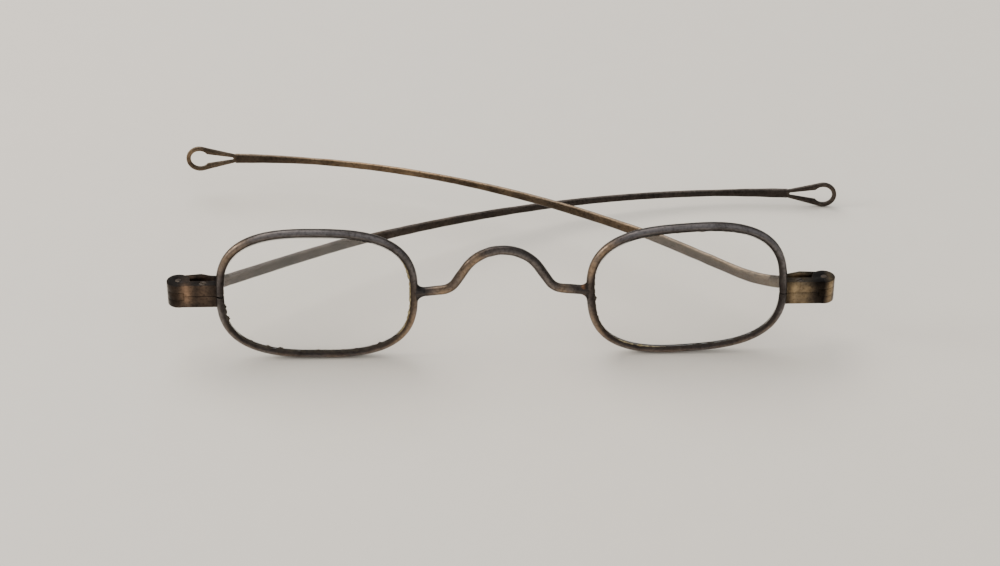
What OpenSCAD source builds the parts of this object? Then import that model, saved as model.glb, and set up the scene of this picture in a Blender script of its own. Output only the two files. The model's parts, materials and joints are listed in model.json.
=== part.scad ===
// Wire spectacles with rounded-rectangle eyes, an arched bridge, split end-pieces
// closed by screws, and folding temples that end in ribbon loops.
// They stand on the lower rims and one temple loop, leaning back, with both temples
// folded. Millimetres, +Z up, the wearer's side towards +Y.

/* [Eyes] */
// Width of a rim, outside to outside
rim_w = 34; // [30:0.5:38]
// Height of a rim, outside to outside
rim_h = 25.4; // [24:0.2:28]
// Squareness of the eye: 2 is an ellipse, larger is boxier
squareness = 2.75; // [2.2:0.05:3.5]
// Distance between the lens centres
pupil_gap = 62.4; // [60:0.2:68]
// How far the left rim is turned in its own plane, outer end up
left_rim_turn = 1.3; // [0:0.1:4]
// How far the right rim is turned in its own plane, outer end up
right_rim_turn = 4; // [0:0.1:4]
// Thickness of the eyewire, measured across the rim
wire_t = 1.4; // [1.2:0.05:1.5]
// Depth of the eyewire, front to back
wire_d = 1.6; // [1.4:0.05:1.7]
// Thickness of a lens at its middle
lens_t = 1.1; // [1:0.1:1.4]
// Thickness of a lens at its edge
lens_edge_t = 0.7; // [0.6:0.05:0.8]

/* [Bridge] */
// Diameter of the bridge wire
bridge_d = 1.6; // [1.4:0.1:1.8]
// Height of the arch above the bridge's ends
arch_h = 8.1; // [7:0.1:9]
// Radius of the arch's crown
crown_r = 7.2; // [6.6:0.1:7.4]
// Radius where the arch turns out into its arms
foot_r = 3; // [2:0.1:3.2]
// Steepest slope of the arch
flank_angle = 58; // [54:1:60]
// Slope of the arms between the arch and the rims
arm_angle = 6; // [5:1:10]

/* [Hinges] */
// Radius of the hinge barrel
barrel_r = 1.95; // [1.8:0.05:2.1]
// Height of the end-piece and the barrel
block_h = 4.2; // [3.8:0.1:4.4]
// Height of the temple's knuckle in the middle of the barrel
knuckle_h = 1.4; // [1.2:0.1:1.6]
// Clearance above and below the temple's knuckle
knuckle_gap = 0.05; // [0.03:0.01:0.08]
// Radius of the hinge pin
pin_r = 0.5; // [0.4:0.05:0.6]
// Radial running clearance of the hinge pin in the temple's knuckle
pin_gap = 0.03; // [0.02:0.01:0.06]
// Distance from the middle of the bridge to a hinge axis
hinge_x = 54.5; // [54:0.1:56]
// Distance from the rims' plane back to a hinge axis
hinge_y = 1.45; // [1.4:0.05:1.5]
// How much lower the right hinge sits on its rim than the left one
right_hinge_drop = 1; // [0:0.1:1.2]
// Radius of the closing screw's shank
screw_r = 0.45; // [0.4:0.05:0.5]

/* [Temples] */
// Length of the left temple from its hinge to the end of its loop
left_temple_l = 125; // [120:1:128]
// Length of the right temple from its hinge to the end of its loop
right_temple_l = 121; // [118:1:124]
// Angle by which the left temple's root bends out past the rim
left_kick = 27; // [25:0.5:30]
// Angle by which the right temple's root bends out past the rim
right_kick = 34; // [31:0.5:37]
// Length over which the left temple's root bends
left_kick_l = 2; // [2:0.5:5]
// Length over which the right temple's root bends
right_kick_l = 12; // [9:0.5:15]
// Angle by which the left temple then curves back towards the head
left_fall = 43.5; // [42:0.5:48]
// Angle by which the right temple then curves back towards the head
right_fall = 41.5; // [38:0.5:44]
// Opening angle of the left temple as it stands, from fully folded
left_rest = 8; // [5:0.5:10]
// Opening angle of the right temple as it stands, from fully folded
right_rest = 4; // [2:0.5:6]
// Height by which the right temple's tip rises over its hinge
right_rise = 3.2; // [2.8:0.1:3.6]
// Outer radius of a ribbon loop
loop_r = 2.5; // [2.4:0.05:2.7]
// Radius of a ribbon loop's hole
loop_hole_r = 1.65; // [1.5:0.05:1.8]
// Thickness of a ribbon loop
loop_t = 0.75; // [0.7:0.05:0.9]

/* [Stance] */
// Angle by which the front leans back on the table
lean = 9.7; // [9:0.1:10.5]

/* [Hidden] */

LEFT = -1;
RIGHT = 1;

steel = [0.33, 0.30, 0.27];
dark_steel = [0.26, 0.25, 0.25];
bronze_steel = [0.42, 0.33, 0.24];
brass = [0.66, 0.47, 0.27];
clear_glass = [0.85, 0.88, 0.84, 0.35];

round_fn = 64;

// Middle of the standing object's footprint, seen from the middle of the bridge
footprint_x = 2.905;
footprint_y = 22.546;

half_w = rim_w / 2;
half_h = rim_h / 2;
eye_x = pupil_gap / 2;

// The eyewire: its outer side is round, and a square groove in its inner side
// holds the lens. It is split by a narrow gap at the end-piece.
rim_rings = 96;
split_gap = 0.25;
round_depth = 0.7;
lip_y = wire_d / 2 - 0.1;
lip_chamfer = 0.1;
groove_y = lens_edge_t / 2 + 0.05;
groove_depth = 0.4;
lens_clearance = 0.05;
contact_rings = 3;

// The lens is domed on both sides and steps down to a thin edge in the groove
dome_edge_t = 0.9;
dome_steps = [0.04, 0.3, 0.55, 0.8, 1];

// The bridge wire's ends sink into the rims' outline and are cut to fit
wire_sides = 16;
arm_sink = 0.5;

// The bridge's braze fillets
web_w = 1.6;
web_h = 2.1;
web_t = 1;

// The end-piece: a plate split at mid-height, with a knuckle on each half
seam = 0.03;
plate_front = -0.35;
plate_t = 1.5;
plate_x = 47.6;
plate_proud = 0.05;
swing_r = barrel_r + 0.1;
screw_x = 50.3;
screw_y = plate_front + plate_t / 2;
screw_head_r = 0.62;
screw_head_h = 0.4;
screw_gap = 0.04;
slot_w = 0.18;
slot_depth = 0.16;
rivet_proud = 0.05;

// The temple: [distance from the hinge, height, thickness] along its length
root_l = 4.5;
root_y = 1.38;
joint_l = 9;
bar_sections = [
    [0, block_h, 1.05], [4, block_h, 1.05], [7, 2.35, 1], [joint_l, 2.2, 1],
    [20, 2.05, 0.95], [38, 1.85, 0.85], [57, 1.6, 0.8], [72, 1.35, 0.75],
    [130, 1.25, 0.65]
];
tip_flare = 0.6;
flare_start = 24;
flare_l = 15;
section_sides = 12;
corner_power = 0.7;
fall_power = 1.35;
path_step = 0.5;
joint_stride = 1;
bar_stride = 5;

// The ribbon loop: a ring drawn out to a point on the bar's side, with a slit that
// runs from its hole towards the bar
loop_reach = 9.3;
slit_reach = 6.1;
slit_half_w = 0.3;
slit_mouth = 35;
loop_root = 7;

function pick(side, left, right) = side == LEFT ? left : right;
function sign_pow(v, p) = sign(v) * pow(abs(v), p);
function unit(u) = min(max(u, 0), 1);
function smooth(u) = let (c = unit(u)) c * c * (3 - 2 * c);
function turned(p, a) = [p[0] * cos(a) - p[1] * sin(a), p[0] * sin(a) + p[1] * cos(a)];

// ---- eye outline: a squared ellipse, +X towards the temple ----

function rim_turn(side) = pick(side, left_rim_turn, right_rim_turn);

function outline(t, inset, turn) =
    let (
        x = half_w * sign_pow(cos(t), 2 / squareness),
        z = half_h * sign_pow(sin(t), 2 / squareness),
        normal = [
            sign_pow(x / half_w, squareness - 1) / half_w,
            sign_pow(z / half_h, squareness - 1) / half_h
        ]
    )
    turned([x, z] - inset * normal / norm(normal), turn);

function hinge_drop(side) = pick(side, 0, right_hinge_drop);

// The angle at which the turned outline is level with the hinge
function split_angle(side) =
    let (turn = rim_turn(side), down = half_w * tan(turn) + hinge_drop(side))
    -asin(pow(down / half_h, squareness / 2));

function rim_angles(side) =
    let (start = split_angle(side) + split_gap, span = 360 - 2 * split_gap)
    [for (i = [0 : rim_rings]) start + span * i / rim_rings];

// Height of an eye's middle when its rim touches the table
function eye_z(side) =
    -min([for (t = rim_angles(side)) outline(t, 0, rim_turn(side))[1]]);

mid_z = (eye_z(LEFT) + eye_z(RIGHT)) / 2;

function hinge_z(side) = mid_z - hinge_drop(side);

// ---- temple centreline: X inwards from the hinge, Y back ----

function temple_l(side) = pick(side, left_temple_l, right_temple_l);

function heading(side, s) =
    let (
        kick_l = pick(side, left_kick_l, right_kick_l),
        bent = root_l + kick_l
    )
    pick(side, left_kick, right_kick) * smooth((s - root_l) / kick_l)
    - pick(side, left_fall, right_fall)
        * pow(unit((s - bent) / (temple_l(side) - bent)), fall_power);

function temple_path(side) = [
    for (
        s = 0, x = 0, y = root_y;
        s <= temple_l(side);
        x = x + path_step * cos(heading(side, s + path_step / 2)),
        y = y + path_step * sin(heading(side, s + path_step / 2)),
        s = s + path_step
    )
    [x, y]
];

left_path = temple_path(LEFT);
right_path = temple_path(RIGHT);

function path_at(side, s) = pick(side, left_path, right_path)[round(s / path_step)];

// A ribbon loop runs straight on from the end of its bar
function bar_end(side) = temple_l(side) - loop_r - loop_root;
function loop_way(side) = heading(side, temple_l(side) - loop_root);

// The left temple drops until its loop rests on the table
loop_middle = turned(
    path_at(LEFT, bar_end(LEFT)) + loop_root * [cos(loop_way(LEFT)), sin(loop_way(LEFT))],
    left_rest
);
left_drop = mid_z - loop_r - (hinge_y + loop_middle[1] + loop_t / 2) * tan(lean);

function temple_z(side, s) =
    pick(side, -left_drop, right_rise)
    * sin(90 * unit((s - root_l) / (temple_l(side) - root_l)));

function bar_height(side, s) =
    lookup(s, [for (row = bar_sections) [row[0], row[1]]])
    + tip_flare * smooth((s - temple_l(side) + flare_start) / flare_l);

function bar_thickness(s) = lookup(s, [for (row = bar_sections) [row[0], row[2]]]);

// ---- shared shapes ----

// A closed skin over rings of points, each ring with the same number of points and
// running counterclockwise about the way from the first ring to the last
module skin(rings) {
    n = len(rings[0]);
    last = len(rings) - 1;
    sides = [
        for (i = [0 : last - 1], j = [0 : n - 1])
            let (a = i * n + j, b = i * n + (j + 1) % n)
            each [[a, b + n, b], [a, a + n, b + n]]
    ];
    first_cap = [for (j = [0 : n - 1]) j];
    last_cap = [for (j = [n - 1 : -1 : 0]) last * n + j];
    polyhedron([for (ring = rings) each ring], concat([first_cap, last_cap], sides));
}

// Moves a child from the front's own frame, upright with its lowest edge at z = 0
// and the bridge over the origin, to where it stands
module standing() {
    translate([-footprint_x, -footprint_y, 0]) rotate([-lean, 0, 0]) children();
}

module on_side(side) {
    mirror([side == LEFT ? 1 : 0, 0, 0]) children();
}

// A frame on the hinge axis with X inwards, opened by the temple's angle at rest
module at_hinge(side, angle) {
    on_side(side) translate([hinge_x, hinge_y, hinge_z(side)]) mirror([1, 0, 0])
        rotate([0, 0, angle]) children();
}

module upright_cylinder(r, low, high) {
    translate([0, 0, low]) cylinder(r = r, h = high - low, $fn = round_fn);
}

// ---- eyes ----

function wire_ring(side, t) =
    let (
        turn = rim_turn(side),
        round_side = [
            for (a = [-90 : 30 : 90]) [round_depth * (1 - cos(a)), wire_d / 2 * sin(a)]
        ],
        groove_side = [
            [wire_t - lip_chamfer, lip_y], [wire_t, groove_y],
            [wire_t - groove_depth, groove_y], [wire_t - groove_depth, -groove_y],
            [wire_t, -groove_y], [wire_t - lip_chamfer, -lip_y]
        ]
    )
    [
        for (p = concat(round_side, groove_side))
            let (o = outline(t, p[0], turn)) [eye_x + o[0], p[1], eye_z(side) + o[1]]
    ];

// The eyewire between two of its rings
module wire_stretch(side, first, last) {
    angles = rim_angles(side);
    on_side(side) skin([for (i = [first : last]) wire_ring(side, angles[i])]);
}

module rim(side) {
    color(steel) standing() wire_stretch(side, 0, rim_rings);
}

function lens_ring(side, inset, scaling, y) =
    let (turn = rim_turn(side), angles = rim_angles(side))
    [
        for (i = [0 : rim_rings - 1])
            let (o = outline(angles[i], inset, turn) * scaling)
            [eye_x + o[0], y, eye_z(side) + o[1]]
    ];

function dome_y(scaling) = (lens_t + (dome_edge_t - lens_t) * scaling * scaling) / 2;

module lens(side) {
    dome_inset = wire_t + lens_clearance;
    edge_inset = dome_inset - groove_depth;
    edge_y = lens_edge_t / 2;
    back = [for (k = dome_steps) lens_ring(side, dome_inset, k, dome_y(k))];
    edge = [
        lens_ring(side, dome_inset, 1, edge_y),
        lens_ring(side, edge_inset, 1, edge_y),
        lens_ring(side, edge_inset, 1, -edge_y),
        lens_ring(side, dome_inset, 1, -edge_y)
    ];
    last = len(dome_steps) - 1;
    front = [
        for (i = [last : -1 : 0])
            lens_ring(side, dome_inset, dome_steps[i], -dome_y(dome_steps[i]))
    ];
    color(clear_glass) standing() on_side(side) skin(concat(back, edge, front));
}

// ---- bridge ----

rim_inner_x = eye_x - half_w;

// Half of the bridge's centreline as [x, height, slope], from the crown outwards
function bridge_half() =
    let (
        crown_end = [
            crown_r * sin(flank_angle),
            arch_h - crown_r * (1 - cos(flank_angle))
        ],
        flank_normal = [sin(flank_angle), cos(flank_angle)],
        flank_way = [cos(flank_angle), -sin(flank_angle)],
        arm_normal = [sin(arm_angle), cos(arm_angle)],
        near = crown_end + foot_r * flank_normal,
        along = ((near - [rim_inner_x, 0]) * arm_normal - foot_r) / sin(flank_angle - arm_angle),
        foot_middle = near + along * flank_way,
        arm_end_x = rim_inner_x + arm_sink
    )
    concat(
        [
            for (i = [0 : 8])
                let (a = flank_angle * i / 8)
                [crown_r * sin(a), arch_h - crown_r * (1 - cos(a)), a]
        ],
        [
            for (i = [0 : 7])
                let (a = flank_angle + (arm_angle - flank_angle) * i / 7)
                [foot_middle[0] - foot_r * sin(a), foot_middle[1] - foot_r * cos(a), a]
        ],
        [[arm_end_x, -arm_sink * tan(arm_angle), arm_angle]]
    );

function bridge_ring(p) = [
    for (j = [0 : wire_sides - 1])
        let (b = 360 * j / wire_sides, up = bridge_d / 2 * cos(b), front = bridge_d / 2 * sin(b))
        [p[0] + up * sin(p[2]), -front, mid_z + p[1] + up * cos(p[2])]
];

module bridge_wire() {
    half = bridge_half();
    last = len(half) - 1;
    left_half = [for (i = [last : -1 : 1]) [-half[i][0], half[i][1], -half[i][2]]];
    skin([for (p = concat(left_half, half)) bridge_ring(p)]);
}

// The stretch of eyewire that the bridge is brazed to
module nasal_wire(side) {
    middle = rim_rings / 2;
    wire_stretch(side, middle - contact_rings, middle + contact_rings);
}

module bridge() {
    color(bronze_steel) standing() difference() {
        bridge_wire();
        nasal_wire(LEFT);
        nasal_wire(RIGHT);
    }
}

// Fillets above and below the bridge's end, against the rim
module bridge_braze(side) {
    curve = [for (u = [0 : 0.125 : 1]) [rim_inner_x - web_w * (1 - u), web_h * (0.3 + 0.7 * u * u)]];
    below = [for (i = [len(curve) - 1 : -1 : 0]) [curve[i][0], -curve[i][1]]];
    sunk = [[rim_inner_x + arm_sink, web_h], [rim_inner_x + arm_sink, -web_h]];
    color(brass) standing() difference() {
        on_side(side) translate([0, web_t / 2, mid_z]) rotate([90, 0, 0])
            linear_extrude(web_t) polygon(concat(curve, sunk, below));
        bridge_wire();
        nasal_wire(side);
    }
}

// ---- end-pieces and hinges ----

// One half of an end-piece, made for the upper side; the lower one is its mirror image
module endpiece_half(side, level) {
    top = block_h / 2 + plate_proud;
    knuckle_low = knuckle_h / 2 + knuckle_gap;
    rings = level > 0 ? [0, contact_rings] : [rim_rings - contact_rings, rim_rings];
    standing() difference() {
        on_side(side) translate([0, 0, hinge_z(side)]) mirror([0, 0, level > 0 ? 0 : 1])
        difference() {
            union() {
                translate([plate_x, plate_front, seam])
                    cube([hinge_x - plate_x, plate_t, top - seam]);
                translate([hinge_x, hinge_y, 0])
                    upright_cylinder(barrel_r, knuckle_low, block_h / 2);
            }
            translate([hinge_x, hinge_y, 0]) {
                upright_cylinder(swing_r, -1, knuckle_low);
                upright_cylinder(pin_r, 0, block_h);
            }
            translate([screw_x, screw_y, 0]) {
                upright_cylinder(level > 0 ? screw_r + screw_gap : screw_r, 0, block_h);
                if (level > 0)
                    upright_cylinder(screw_head_r + screw_gap, top - screw_head_h, block_h);
            }
        }
        wire_stretch(side, rings[0], rings[1]);
    }
}

module closing_screw(side) {
    top = block_h / 2 + plate_proud;
    color(dark_steel) standing() on_side(side) translate([screw_x, screw_y, hinge_z(side)])
        difference() {
            union() {
                upright_cylinder(screw_r, -top, top - screw_head_h);
                upright_cylinder(screw_head_r, top - screw_head_h, top);
            }
            rotate([0, 0, 30]) translate([-1, -slot_w / 2, top - slot_depth])
                cube([2, slot_w, 1]);
        }
}

module hinge_pin(side) {
    end = block_h / 2 + rivet_proud;
    color(dark_steel) standing() on_side(side) translate([hinge_x, hinge_y, hinge_z(side)])
        upright_cylinder(pin_r, -end, end);
}

// ---- temples ----

function bar_ring(side, s) =
    let (
        p = path_at(side, s),
        way = heading(side, s),
        half_height = bar_height(side, s) / 2,
        half_t = bar_thickness(s) / 2
    )
    [
        for (j = [0 : section_sides - 1])
            let (
                b = 360 * (j + 0.5) / section_sides,
                out = half_t * sign_pow(cos(b), corner_power),
                up = half_height * sign_pow(sin(b), corner_power)
            )
            [p[0] - out * sin(way), p[1] + out * cos(way), temple_z(side, s) + up]
    ];

module bar(side, from, to, stride) {
    steps = floor((to - from) / (stride * path_step));
    stations = concat([for (i = [0 : steps - 1]) from + i * stride * path_step], [to]);
    skin([for (s = stations) bar_ring(side, s)]);
}

module temple_joint(side) {
    half = knuckle_h / 2;
    standing() at_hinge(side, pick(side, left_rest, right_rest)) difference() {
        union() {
            difference() {
                bar(side, 0, joint_l, joint_stride);
                upright_cylinder(swing_r, half, block_h);
                upright_cylinder(swing_r, -block_h, -half);
            }
            upright_cylinder(barrel_r, -half, half);
        }
        upright_cylinder(pin_r + pin_gap, -block_h, block_h);
    }
}

// A circle drawn out to a point at the given reach on its -X side
module teardrop(r, reach) {
    tangent = 180 - acos(r / reach);
    polygon(concat(
        [[-reach, 0]],
        [for (i = [-16 : 16]) r * [cos(tangent * i / 16), sin(tangent * i / 16)]]
    ));
}

// A round hole with a slit that narrows towards the bar
module keyhole() {
    mouth = 180 - slit_mouth;
    polygon(concat(
        [[-slit_reach, -slit_half_w], [-slit_reach, slit_half_w]],
        [for (i = [16 : -1 : -16]) loop_hole_r * [cos(mouth * i / 16), sin(mouth * i / 16)]]
    ));
}

module ribbon_loop() {
    rotate([90, 0, 0]) translate([0, 0, -loop_t / 2]) linear_extrude(loop_t) difference() {
        teardrop(loop_r, loop_reach);
        keyhole();
    }
}

module temple(side) {
    root = path_at(side, bar_end(side));
    standing() at_hinge(side, pick(side, left_rest, right_rest)) {
        bar(side, joint_l, bar_end(side), bar_stride);
        translate([root[0], root[1], temple_z(side, temple_l(side))])
            rotate([0, 0, loop_way(side)]) translate([loop_root, 0, 0]) ribbon_loop();
    }
}

module left_rim() rim(LEFT);
module right_rim() rim(RIGHT);
module left_lens() lens(LEFT);
module right_lens() lens(RIGHT);
module left_bridge_braze() bridge_braze(LEFT);
module right_bridge_braze() bridge_braze(RIGHT);
module left_upper_endpiece() color(steel) endpiece_half(LEFT, 1);
module right_upper_endpiece() color(steel) endpiece_half(RIGHT, 1);
module left_lower_endpiece() color(steel) endpiece_half(LEFT, -1);
module right_lower_endpiece() color(steel) endpiece_half(RIGHT, -1);
module left_closing_screw() closing_screw(LEFT);
module right_closing_screw() closing_screw(RIGHT);
module left_hinge_pin() hinge_pin(LEFT);
module right_hinge_pin() hinge_pin(RIGHT);
module left_temple_joint() color(dark_steel) temple_joint(LEFT);
module right_temple_joint() color(bronze_steel) temple_joint(RIGHT);
module left_temple() color(dark_steel) temple(LEFT);
module right_temple() color(bronze_steel) temple(RIGHT);

left_rim();
right_rim();
left_lens();
right_lens();
bridge();
left_bridge_braze();
right_bridge_braze();
left_upper_endpiece();
right_upper_endpiece();
left_lower_endpiece();
right_lower_endpiece();
left_closing_screw();
right_closing_screw();
left_hinge_pin();
right_hinge_pin();
left_temple_joint();
right_temple_joint();
left_temple();
right_temple();
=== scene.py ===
"""Antique wire eyeglasses: the swept wires, lenses, blocks and their worn steel finishes."""

import json
import math

import bmesh
import bpy
from mathutils import Matrix, Vector, noise


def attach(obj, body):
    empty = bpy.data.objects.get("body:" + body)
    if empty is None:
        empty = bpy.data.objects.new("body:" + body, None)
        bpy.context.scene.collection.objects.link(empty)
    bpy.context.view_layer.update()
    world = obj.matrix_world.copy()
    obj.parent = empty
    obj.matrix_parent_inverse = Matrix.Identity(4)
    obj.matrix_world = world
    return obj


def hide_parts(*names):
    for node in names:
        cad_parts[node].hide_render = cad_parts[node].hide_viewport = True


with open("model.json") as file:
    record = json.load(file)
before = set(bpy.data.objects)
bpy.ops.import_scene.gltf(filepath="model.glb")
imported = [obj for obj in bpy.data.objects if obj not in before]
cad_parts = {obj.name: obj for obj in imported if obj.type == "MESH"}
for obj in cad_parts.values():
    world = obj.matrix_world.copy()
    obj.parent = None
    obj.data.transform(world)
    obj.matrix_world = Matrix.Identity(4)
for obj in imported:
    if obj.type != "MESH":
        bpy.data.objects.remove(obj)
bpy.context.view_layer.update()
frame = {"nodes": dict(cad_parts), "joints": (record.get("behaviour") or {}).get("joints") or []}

MM = 0.001
LEFT, RIGHT = -1, 1
NAMES = {LEFT: "left", RIGHT: "right"}

# ---------------------------------------------------------------- front's own frame
# The hinge axes give the way the front leans, and its middle.
joints = {joint["child"]: joint for joint in frame["joints"]}
left_hinge = joints["left_temple_arm"]
right_hinge = joints["right_temple_arm"]
UP = Vector(left_hinge["axis"]).normalized()
ACROSS = Vector((1, 0, 0))
BACK = UP.cross(ACROSS)
HINGE_BACK = 1.45
LEFT_PIN = Vector(left_hinge["pos_m"])
RIGHT_PIN = Vector(right_hinge["pos_m"])
HINGE_X = (RIGHT_PIN.x - LEFT_PIN.x) / 2 / MM
HINGE_DROP = {LEFT: 0.0, RIGHT: (LEFT_PIN - RIGHT_PIN).dot(UP) / MM}
MIDDLE = LEFT_PIN + ACROSS * HINGE_X * MM - BACK * HINGE_BACK * MM
MID_Z = MIDDLE.z / UP.z / MM
FOOT = MIDDLE - UP * MID_Z * MM
LEAN = math.atan2(UP.y, UP.z)


def place(x, y, z):
    """A point of the upright front, in millimetres from the bridge's middle, as it stands."""
    return MIDDLE + (ACROSS * x + BACK * y + UP * z) * MM


# ---------------------------------------------------------------- sizes, millimetres
# The eyes are squared ellipses. Their turns and the split are in degrees.
EYE_X = 31.2
HALF_W = 17.0
HALF_H = 12.7
SQUARENESS = 2.75
RIM_TURN = {LEFT: 1.3, RIGHT: 4.0}
SPLIT_ANGLE = 0.25
WIRE_T = 1.4
WIRE_HALF_D = 0.775
WIRE_SKIN = 0.015
WIRE_LIP = 0.03
GROOVE_DEPTH = 0.4
GROOVE_HALF = 0.4
RIM_RINGS = 288
RIM_RING_L = 0.3

LENS_HALF_T = 0.55
LENS_EDGE_HALF = 0.35
DOME_EDGE_HALF = 0.45
LENS_CLEARANCE = 0.05

CRUST_INSET = WIRE_T - 0.05
CRUST_Y = -0.47
CRUST_WIDE = 1.3
CRUST_DEEP = 0.5
CRUST_LEAST = 0.012
CRUST_SIDES = 8
CRUST_RINGS_A_DEGREE = 1.6
CRUST_FADE_RINGS = 14

# The bridge: a round crown, straight flanks, feet of the opposite curve and two arms.
BRIDGE_END_X = EYE_X - HALF_W
BRIDGE_R = 0.8
ARCH_H = 8.1
CROWN_R = 7.2
FOOT_R = 3.0
FLANK = math.radians(58)
ARM = math.radians(6)
BRIDGE_SUNK = 0.45
ROUND_SIDES = 24
CROWN_SPANS = 32
FLANK_SPANS = 8
FOOT_SPANS = 16
ARM_SPANS = 12
FILLET_R = 1.3
FILLET_SUNK = 0.12
FILLET_THIN = 0.14
FILLET_RINGS = 20
END_RINGS = 4
END_STEP = 0.08

BARREL_R = 1.95
BLOCK_BEVEL = 0.14
JOINT_BEVEL = 0.1
SCREW_BEVEL = 0.03
PIN_BEVEL = 0.05

# Temples: the kick, fall and rest are in degrees. A bar's rows are (place, height, thickness).
ROOT_L = 4.5
ROOT_Y = 1.38
JOINT_L = 9.0
FALL_POWER = 1.35
PATH_STEP = 0.5
TEMPLES = {
    LEFT: dict(length=125, kick=27, kick_l=2, fall=43.5, rest=8),
    RIGHT: dict(length=121, kick=34, kick_l=12, fall=41.5, rest=4),
}
RIGHT_RISE = 3.2
BAR = [
    (0, 4.2, 1.05), (4, 4.2, 1.05), (7, 2.35, 1), (9, 2.2, 1), (20, 2.05, 0.95),
    (38, 1.85, 0.85), (57, 1.6, 0.8), (72, 1.35, 0.75), (130, 1.25, 0.65),
]
BAR_FIT = 0.985
BAR_ROUNDING = 0.72
BAR_SIDES = 20
BAR_SPANS = 250
OVERRUN_STEP = 0.1
OVERRUN_RINGS = 5
TIP_FLARE = 0.6
FLARE_START = 24
FLARE_L = 15
TIP_SWELL = 0.1
SWELL_L = 12
LOOP_R = 2.5
LOOP_SKIN = 0.03
LOOP_HOLE_R = 1.65
LOOP_HALF_T = 0.36
LOOP_REST_HALF_T = 0.375
LOOP_REACH = 9.3
LOOP_ROOT = 7
LOOP_OVERLAP = 0.3
LOOP_ROUNDING = 0.7
LOOP_SIDES = 16
LOOP_RINGS = 200
LOOP_ARC_SPANS = 80
SLIT_REACH = 6.1
SLIT_HALF = 0.3
SLIT_MOUTH = math.radians(35)
SLIT_SPANS = 8


# ---------------------------------------------------------------- helpers
TINY = 1e-9


def clamp(u):
    return min(max(u, 0.0), 1.0)


def smooth(u):
    c = clamp(u)
    return c * c * (3 - 2 * c)


def signed_power(v, p):
    return math.copysign(abs(v) ** p, v)


def turned(x, y, angle):
    c, s = math.cos(angle), math.sin(angle)
    return x * c - y * s, x * s + y * c


def turn_angles(count, shift=0.0):
    """Angles that step evenly through a whole turn, the first one shifted by a part of a step."""
    return [math.tau * (j + shift) / count for j in range(count)]


def between(p, q, share):
    return tuple(a + (b - a) * share for a, b in zip(p, q))


def running_length(points):
    """The distance of each point along a line of points."""
    along = [0.0]
    for p, q in zip(points, points[1:]):
        along.append(along[-1] + math.dist(p, q))
    return along


def hump(distance, spread):
    """A soft hump that is 1 in its middle; spread is the square of its half width."""
    return math.exp(-(distance ** 2) / spread)


def spots(x, table):
    """The sum at x of soft humps, each given as (its middle, share, spread)."""
    return sum(share * hump(x - middle, spread) for middle, share, spread in table)


def wobble(u, seed, amount):
    """A slow handmade unevenness along a wire, from its place u in millimetres."""
    return amount * noise.noise(Vector((u * 0.35, seed, 0.5)))


def new_piece(name, body, mesh):
    piece = bpy.data.objects.new(name, mesh)
    bpy.context.scene.collection.objects.link(piece)
    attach(piece, body)
    return piece


def skin_mesh(name, rings, closed=False, warmth=None, wear_and_highlight=None, highlight_share=None):
    """A smooth closed skin over rings of points.

    warmth gives each ring's share of bronze; the next list gives, for each point round a ring,
    its wear and painted highlight, and the last list scales that for each ring.
    """
    mesh = bpy.data.meshes.new(name)
    bm = bmesh.new()
    layers = [[bm.verts.new(p) for p in ring] for ring in rings]
    count = len(layers[0])
    spans = len(layers) if closed else len(layers) - 1
    for i in range(spans):
        here, there = layers[i], layers[(i + 1) % len(layers)]
        for j in range(count):
            k = (j + 1) % count
            bm.faces.new((here[j], here[k], there[k], there[j]))
    if not closed:
        bm.faces.new(list(reversed(layers[0])))
        bm.faces.new(layers[-1])
    bmesh.ops.recalc_face_normals(bm, faces=bm.faces)
    bm.to_mesh(mesh)
    bm.free()
    shade(mesh, 38)
    if warmth is not None:
        store(mesh, "warm", [w for w in warmth for _ in range(count)])
    if wear_and_highlight is not None:
        store(mesh, "wear_and_highlight", [c * share for share in highlight_share or [1.0] * len(rings) for c in wear_and_highlight])
    return mesh


def store(mesh, name, values):
    layer = mesh.attributes.new(name, "FLOAT", "POINT")
    layer.data.foreach_set("value", values)


def shade(mesh, angle):
    mesh.shade_smooth()
    mesh.set_sharp_from_angle(angle=math.radians(angle))


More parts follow.
